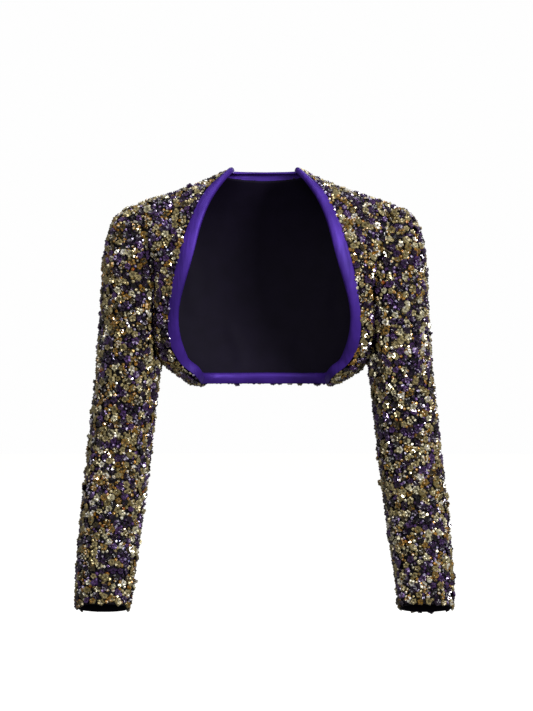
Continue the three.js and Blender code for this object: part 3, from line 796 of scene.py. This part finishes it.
@dataclass
class BeadWork:
    """All the beads: rosettes laid close over every panel, and small drums between them."""

    cloths: tuple[ClothPiece, ...]
    borders: tuple[str, ...]  # the CAD nodes of the satin that shows beside the beads
    rosette_gap: float = 9.0  # mm between the middles of neighbouring rosettes, at least
    rosette_radius: tuple[float, float] = (5.6, 7.4)
    drum_gap: float = 4.6
    drum_room: float = 5.8  # mm from a rosette's middle to a drum's
    drum_radius: tuple[float, float] = (2.4, 3.4)
    edge_room: float = 2.0  # mm kept free at cut edges
    satin_room: float = 4.2  # mm kept free of rosettes beside the satin, so its border runs evenly
    satin_reach: float = 12.0  # mm from the satin, within which an edge is beside it
    seam_reach: float = 5.5  # mm from another panel's edge, within which an edge is a seam
    rosette_tries: float = 9.0  # places strewn for each square of the gap's side
    drum_tries: float = 5.0
    deepest_fold: float = 6.5  # mm down a crease, past which no bead is sewn
    cluster_gap: float = 15.0  # mm between the middles of neighbouring gold clusters, at least
    cluster_long: tuple[float, float] = (7.5, 13.0)  # mm, half the length of a cluster
    cluster_wide: tuple[float, float] = (4.5, 6.5)
    gold_share: float = 0.56
    lean: float = 0.22  # radians, the usual lean of a bead
    sunk: float = 0.8  # mm that a leaning bead may press into the ground
    lift: tuple[float, float] = (-0.3, 1.0)  # mm that a bead's seat stands off the ground
    squash: tuple[float, float] = (0.85, 1.1)  # least and most scale on each of its axes
    plain_ring_share: float = 0.6  # share of the rosettes with the narrower ring
    cluster_blur: float = 0.2  # how raggedly a cluster ends, in shares of its reach
    rosette_tints: float = 0.88  # rosettes take the lower part of the tints, and drums all of them
    tint_play: float = 0.07  # how much a bead's tint varies from point to point
    bright_drums: float = 0.3  # share of the drums that take the rest, which on plum beads holds the painted glints

    def candidates(
        self, gap: float, tries: float, satin_room: float, rng: np.random.Generator
    ) -> Sites:
        """Strews places at random over the outer skins, clear of the free edges.

        Args:
            gap: The spacing that they will be thinned to, in mm.
            tries: How many to strew for each square of that side.
            satin_room: How much is kept free beside the satin, in mm.
            rng: The source of random numbers.

        Returns:
            The places.
        """
        places, outs, owners = [], [], []
        edges = self.free_edges()
        for number, cloth in enumerate(self.cloths):
            mesh = cloth.shell.data
            mesh.calc_loop_triangles()
            corners = np.empty(len(mesh.loop_triangles) * 3, np.int32)
            mesh.loop_triangles.foreach_get("vertices", corners)
            skin = np.empty(len(mesh.loop_triangles), np.int32)
            mesh.loop_triangles.foreach_get("material_index", skin)
            corners = corners.reshape(-1, 3)[skin == Skin.OUTER.value]
            points, _ = arrays_of(mesh)
            a, b, c = (points[corners[:, k]] for k in range(3))
            size = np.linalg.norm(np.cross(b - a, c - a), axis=1) / 2
            count = int(size.sum() / (gap * MM) ** 2 * tries)
            chosen = corners[rng.choice(len(size), count, p=size / size.sum())]
            u, v = rng.random(count), rng.random(count)
            flip = u + v > 1
            u[flip], v[flip] = 1 - u[flip], 1 - v[flip]
            shares = np.stack([1 - u - v, u, v], axis=1)
            places.append(np.einsum("nk,nkj->nj", shares, points[chosen]))
            outs.append(np.einsum("nk,nkj->nj", shares, cloth.outward[chosen]))
            owners.append(np.full(count, number))
        place, out = np.concatenate(places), np.concatenate(outs)
        out /= np.maximum(np.linalg.norm(out, axis=1)[:, None], 1e-9)
        sites = Sites(place, out, np.concatenate(owners))
        sites = sites.only(rng.permutation(len(place)))
        beside = self.beside_satin(edges)
        for room, points in ((satin_room, edges[beside]), (self.edge_room, edges[~beside])):
            sites = sites.only(distances(points, sites.place) > room * MM)
        sunk = np.linalg.norm(sum(fold.shift(sites.place) for fold in FOLDS), axis=1)
        return sites.only(sunk < self.deepest_fold * MM)

    def free_edges(self) -> np.ndarray:
        """Finds the edges of the panels that no other panel meets.

        Returns:
            Their points, one a row.
        """
        edges = [cloth.edge_points() for cloth in self.cloths]
        free = []
        for number, points in enumerate(edges):
            others = np.concatenate([e for k, e in enumerate(edges) if k != number])
            free.append(points[distances(others, points) > self.seam_reach * MM])
        return np.concatenate(free)

    def beside_satin(self, edges: np.ndarray) -> np.ndarray:
        """Says which edge points lie beside the satin."""
        satin = np.concatenate([arrays_of(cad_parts[node].data)[0] for node in self.borders])
        return distances(satin, edges) < self.satin_reach * MM

    def build(self, finishes: dict[BeadKind, bpy.types.Material]) -> list[bpy.types.Object]:
        """Makes the joined meshes of beads, one of each kind on each panel.

        Args:
            finishes: The material of each kind.

        Returns:
            The new pieces.
        """
        rng = np.random.default_rng(BEAD_SEED)
        rosettes = self.candidates(self.rosette_gap, self.rosette_tries, self.satin_room, rng)
        rosettes = rosettes.only(spread_out(rosettes.place, self.rosette_gap * MM))
        drums = self.candidates(self.drum_gap, self.drum_tries, self.edge_room, rng)
        drums = drums.only(distances(rosettes.place, drums.place) > self.drum_room * MM)
        drums = drums.only(spread_out(drums.place, self.drum_gap * MM))
        everywhere = np.concatenate([rosettes.place, drums.place])
        far = self.from_clusters(everywhere, rosettes, rng)
        gold = far < np.quantile(far[: len(rosettes.place)], self.gold_share)
        gold_rosette, gold_drum = gold[: len(rosettes.place)], gold[len(rosettes.place) :]
        LOG.info("%d rosettes, %d drums", len(rosettes.place), len(drums.place))
        models = (RosetteShape().modelled(), RosetteShape(ring=0.66).modelled())
        drum = DrumShape().modelled()
        made = []
        for number, cloth in enumerate(self.cloths):
            for kind in BeadKind:
                wanted = kind is BeadKind.GOLD
                parts = []
                own = rosettes.cloth == number
                chosen = own & (gold_rosette == wanted)
                style = rng.random(len(own)) < self.plain_ring_share
                for model, mask in ((models[0], style), (models[1], ~style)):
                    sites = rosettes.only(chosen & mask)
                    tint = rng.random(len(sites.place)) * self.rosette_tints
                    parts.append(self.strewn(model, sites, self.rosette_radius, tint, rng))
                own = drums.cloth == number
                sites = drums.only(own & (gold_drum == wanted))
                low, high = rng.random((2, len(sites.place)))
                # some drums take the top tints, among them the plum beads' painted glints
                bright = rng.random(len(low)) < self.bright_drums
                tint = np.where(bright, 1 - high * (1 - self.rosette_tints), low * self.rosette_tints)
                parts.append(self.strewn(drum, sites, self.drum_radius, tint, rng))
                piece = joined_beads(f"{cloth.node}_{kind.value}_beads", parts)
                piece.data.materials.append(finishes[kind])
                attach(piece, "root")
                made.append(piece)
        return made

    def from_clusters(
        self, place: np.ndarray, rosettes: Sites, rng: np.random.Generator
    ) -> np.ndarray:
        """Says how far places are from the nearest gold cluster, in shares of its reach.

        Clusters are long or round, lie evenly over the cloth and often touch, so the gold winds.

        Args:
            place: The places, one a row.
            rosettes: The rosettes, some of which are the clusters' middles.
            rng: The source of random numbers.

        Returns:
            One share for each place.
        """
        order = rng.permutation(len(rosettes.place))
        middles = rosettes.only(order[spread_out(rosettes.place[order], self.cluster_gap * MM)])
        count = len(middles.place)
        way = np.cross(middles.out, rng.normal(0, 1, (count, 3)))
        way /= np.linalg.norm(way, axis=1)[:, None]
        long_reach = rng.uniform(*self.cluster_long, count) * MM
        wide_reach = rng.uniform(*self.cluster_wide, count) * MM
        best = np.full(len(place), FAR)
        for middle, axis, long_side, wide_side in zip(middles.place, way, long_reach, wide_reach):
            offset = place - middle
            along = offset @ axis
            aside = np.maximum(np.einsum("ij,ij->i", offset, offset) - along**2, 0.0)
            best = np.minimum(best, np.sqrt((along / long_side) ** 2 + aside / wide_side**2))
        return best + rng.normal(0, self.cluster_blur, len(place))

    def strewn(
        self,
        model: BeadModel,
        sites: Sites,
        radii: tuple[float, float],
        tint: np.ndarray,
        rng: np.random.Generator,
    ) -> tuple[np.ndarray, np.ndarray, np.ndarray, np.ndarray]:
        """Sets a bead at each site, leaning and turned at random.

        Args:
            model: The bead.
            sites: Where the beads go.
            radii: The smallest and largest radius, in mm.
            tint: Each bead's own tint.
            rng: The source of random numbers.

        Returns:
            Points, triangles, and each point's tint and openness to light.
        """
        count = len(sites.place)
        lean = sites.out + rng.normal(0, self.lean, (count, 3))
        lean /= np.linalg.norm(lean, axis=1)[:, None]
        side = np.cross(lean, rng.normal(0, 1, (count, 3)))
        side /= np.linalg.norm(side, axis=1)[:, None]
        other = np.cross(lean, side)
        radius = rng.uniform(*radii, count) * MM
        lift = rng.uniform(*self.lift, count) * MM
        squash = rng.uniform(*self.squash, (count, 1, 3))
        local = model.points[None] * squash * radius[:, None, None]
        spread = (
            local[..., 0:1] * side[:, None]
            + local[..., 1:2] * other[:, None]
            + local[..., 2:3] * lean[:, None]
        )
        lowest = np.einsum("npj,nj->np", spread, sites.out).min(axis=1)
        lift = np.maximum(lift, -self.sunk * MM - lowest)
        world = (sites.place + sites.out * lift[:, None])[:, None] + spread
        faces = model.faces[None] + (np.arange(count) * len(model.points))[:, None, None]
        tints = np.repeat(tint, len(model.points))
        tints = np.clip(tints + rng.normal(0, self.tint_play, len(tints)), 0.0, 1.0)
        light = np.tile(model.open_to_light, count)
        return world.reshape(-1, 3), faces.reshape(-1, 3), tints, light


def joined_beads(
    name: str, parts: list[tuple[np.ndarray, np.ndarray, np.ndarray, np.ndarray]]
) -> bpy.types.Object:
    """Joins strewn beads into one mesh with its attributes.

    Args:
        name: The new piece's name.
        parts: Points, triangles, tints and openness to light of each part.

    Returns:
        The new piece.
    """
    starts = np.cumsum([0] + [len(part[0]) for part in parts[:-1]])
    points = np.concatenate([part[0] for part in parts])
    faces = np.concatenate([part[1] + start for part, start in zip(parts, starts)])
    mesh = bpy.data.meshes.new(name)
    mesh.vertices.add(len(points))
    mesh.vertices.foreach_set("co", points.ravel())
    mesh.loops.add(faces.size)
    mesh.loops.foreach_set("vertex_index", faces.ravel().astype(np.int32))
    mesh.polygons.add(len(faces))
    mesh.polygons.foreach_set("loop_start", np.arange(0, faces.size, 3, dtype=np.int32))
    mesh.update(calc_edges=True)
    mesh.polygons.foreach_set("use_smooth", np.zeros(len(faces), bool))
    for attribute, column in (("tint", 2), ("open_to_light", 3)):
        values = np.concatenate([part[column] for part in parts]).astype(np.float32)
        mesh.attributes.new(attribute, "FLOAT", "POINT").data.foreach_set("value", values)
    piece = bpy.data.objects.new(name, mesh)
    bpy.context.scene.collection.objects.link(piece)
    return piece


def distances(known: np.ndarray, place: np.ndarray) -> np.ndarray:
    """Measures how near places are to known points.

    Args:
        known: The known points, one a row.
        place: The places, one a row.

    Returns:
        Each place's distance to the nearest of the known points.
    """
    tree = KDTree(len(known))
    for number, point in enumerate(known):
        tree.insert(point, number)
    tree.balance()
    return np.array([tree.find(point)[2] for point in place])


def spread_out(place: np.ndarray, gap: float) -> np.ndarray:
    """Keeps places that are at least a gap apart, first come first kept.

    Args:
        place: Candidate places, one a row.
        gap: The least distance.

    Returns:
        The numbers of the kept places.
    """
    cells: dict[tuple[int, int, int], list[int]] = {}
    keys = np.floor(place / gap).astype(int).tolist()
    rows = place.tolist()
    kept = []
    limit = gap * gap
    near = [(i, j, k) for i in (-1, 0, 1) for j in (-1, 0, 1) for k in (-1, 0, 1)]
    for n, (x, y, z) in enumerate(keys):
        px, py, pz = rows[n]
        clear = True
        for i, j, k in near:
            for m in cells.get((x + i, y + j, z + k), ()):
                qx, qy, qz = rows[m]
                if (px - qx) ** 2 + (py - qy) ** 2 + (pz - qz) ** 2 < limit:
                    clear = False
                    break
            if not clear:
                break
        if clear:
            cells.setdefault((x, y, z), []).append(n)
            kept.append(n)
    return np.array(kept)


# ---------------------------------------------------------------- band


@dataclass
class SatinBand:
    """A run of the satin band, softly rounded from its solid."""

    node: str
    flat: tuple[float, float]
    rests_on: tuple[str, ...]
    run: int = 2  # the axis that the satin runs along
    levels: int = 2
    borders_beads: bool = True  # the run inside the back hem lies behind them instead

    def build(self) -> bpy.types.Object:
        """Returns:
            The new piece.
        """
        piece = merged_copy(self.node, f"{self.node}_satin")
        apply_subdivision(piece, self.levels)
        piece.data.materials.append(BAND_SATIN.material(self.run))
        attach(piece, "root")
        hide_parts(self.node)
        return piece


# ---------------------------------------------------------------- studio


@dataclass(frozen=True)
class SoftBox:
    """A soft studio light aimed at the garment."""

    name: str
    place: tuple[float, float, float]
    size: float
    power: float

    def build(self, aim: Vector) -> None:
        """Hangs the light and aims it.

        Args:
            aim: The place that it points at.
        """
        lamp = bpy.data.lights.new(self.name, "AREA")
        lamp.shape = "SQUARE"
        lamp.size = self.size
        lamp.energy = self.power
        holder = bpy.data.objects.new(self.name, lamp)
        holder.location = self.place
        holder.rotation_euler = (aim - Vector(self.place)).to_track_quat("-Z", "Y").to_euler()
        bpy.context.scene.collection.objects.link(holder)


@dataclass(frozen=True)
class FloorPaint:
    """Matt white paint that gives off light, so that the floor is as white as the paper behind."""

    name: str = "matt_white_paint"
    colour: str = "#f4f4f4"
    roughness: float = 0.9
    glow: str = "#ffffff"
    glow_strength: float = 0.84

    def material(self) -> bpy.types.Material:
        """Makes the material.

        Returns:
            The material.
        """
        material, tree, output = new_material(self.name)
        shader = add_node(
            tree,
            "ShaderNodeBsdfPrincipled",
            {
                "Base Color": linear(self.colour),
                "Roughness": self.roughness,
                "Emission Color": linear(self.glow),
                "Emission Strength": self.glow_strength,
            },
            {},
        )
        tree.links.new(shader.outputs["BSDF"], output.inputs["Surface"])
        return material


@dataclass
class Studio:
    """A pale floor, soft lights and the camera."""

    camera_place: tuple[float, float, float] = (0.0031, -3.5, -0.2906)
    frame_height: float = 1.102  # metres that the camera sees from top to bottom at the neck
    floor_z: float = -1.05
    floor_radius: float = 14.0
    floor_paint: FloorPaint = FloorPaint()
    paper: str = "#fefefe"  # what the camera sees round the garment
    room: str = "#f8f5ee"  # what the garment gets its room light from
    room_light: float = 0.19
    lights: tuple[SoftBox, ...] = (
        SoftBox("key", (2.1, -2.5, 1.0), 0.85, 118.0),
        SoftBox("fill", (-0.9, -3.2, 0.9), 1.8, 40.0),
        SoftBox("top", (0.2, -0.3, 2.3), 1.6, 26.0),
        SoftBox("rear", (0.6, 2.6, 0.9), 1.8, 36.0),
    )

    def build(self) -> None:
        """Sets camera, lights, surroundings and floor."""
        self.set_camera()
        aim = Vector((0, 0, self.camera_place[2]))
        for light in self.lights:
            light.build(aim)
        self.set_surroundings()
        self.lay_floor()

    def set_camera(self) -> None:
        """Stands the camera level in front of the garment."""
        scene = bpy.context.scene
        lens = bpy.data.cameras.new("camera")
        lens.sensor_fit = "VERTICAL"
        lens.angle = 2 * math.atan(self.frame_height / 2 / -self.camera_place[1])
        eye = bpy.data.objects.new("camera", lens)
        eye.location = self.camera_place
        eye.rotation_euler = (math.pi / 2, 0, 0)
        scene.collection.objects.link(eye)
        scene.camera = eye

    def set_surroundings(self) -> None:
        """Puts white paper round the scene for the camera, and a weaker room for the garment."""
        scene = bpy.context.scene
        scene.view_settings.view_transform = "Standard"
        world = bpy.data.worlds.new("pale_studio")
        scene.world = world
        world.use_nodes = True
        sky = world.node_tree
        sky.nodes.clear()
        seen = add_node(sky, "ShaderNodeLightPath", {}, {}).outputs["Is Camera Ray"]
        room_settings = {"Color": linear(self.room), "Strength": self.room_light}
        room = add_node(sky, "ShaderNodeBackground", room_settings, {})
        paper_settings = {"Color": linear(self.paper), "Strength": 1.0}
        paper = add_node(sky, "ShaderNodeBackground", paper_settings, {})
        sides = {0: seen, 1: room.outputs[0], 2: paper.outputs[0]}
        both = add_node(sky, "ShaderNodeMixShader", {}, sides)
        add_node(sky, "ShaderNodeOutputWorld", {}, {"Surface": both.outputs[0]})

    def lay_floor(self) -> None:
        """Lays the floor, which the garment neither reflects nor is lit by."""
        bpy.ops.object.select_all(action="DESELECT")
        bpy.ops.mesh.primitive_circle_add(
            vertices=64, radius=self.floor_radius, fill_type="NGON", location=(0, 0, self.floor_z)
        )
        floor = bpy.context.active_object
        floor.name = "floor"
        floor.data.materials.append(self.floor_paint.material())
        floor.visible_glossy = False
        floor.visible_diffuse = False


# ---------------------------------------------------------------- the jacket


@dataclass
class Jacket:
    """The whole garment."""

    cloths: tuple[ClothPiece, ...] = (
        ClothPiece("front_left", (0.145, 0.345), 0.0240, ("back_cloth",)),
        ClothPiece("front_right", (0.145, 0.345), 0.0240, ("back_cloth",)),
        ClothPiece("back", (0.47, 0.36), 0.142, ("front_left_cloth",)),
        ClothPiece("sleeve_left", (0.40, 0.63), 0.175, ("back_cloth",)),
        ClothPiece("sleeve_right", (0.40, 0.63), 0.175, ("back_cloth",)),
    )
    bands: tuple[SatinBand, ...] = (
        SatinBand("band_front_left", (0.025, 0.43), ("front_left_cloth",)),
        SatinBand("band_front_right", (0.025, 0.43), ("front_right_cloth",)),
        SatinBand("band_neck", (0.025, 0.17), ("back_cloth",), run=0),
        SatinBand("band_hem", (0.024, 0.29), ("back_cloth",), run=0, borders_beads=False),
    )

    def build(self) -> None:
        """Builds and dresses every piece, and logs each one."""
        ground, reverse = GROUND_CLOTH.material(), REVERSE_CLOTH.material()
        finishes = {BeadKind.GOLD: GOLD_BEADS.material(), BeadKind.PLUM: PLUM_BEADS.material()}
        for cloth in self.cloths:
            cloth.build()
        for cloth in self.cloths:
            cloth.dress(ground, reverse)
            report(cloth.shell)
        borders = tuple(band.node for band in self.bands if band.borders_beads)
        for piece in BeadWork(self.cloths, borders).build(finishes):
            report(piece)
        for band in self.bands:
            report(band.build())


def report(piece: bpy.types.Object) -> None:
    """Logs a piece's name, faces and area."""
    area = sum(polygon.area for polygon in piece.data.polygons)
    LOG.info("%s: %d faces, %.4f m2", piece.name, len(piece.data.polygons), area)


def main() -> None:
    """Builds the studio and the jacket."""
    logging.basicConfig(level=logging.INFO, format="%(message)s")
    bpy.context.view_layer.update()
    Studio().build()
    Jacket().build()


if __name__ == "__main__":
    main()
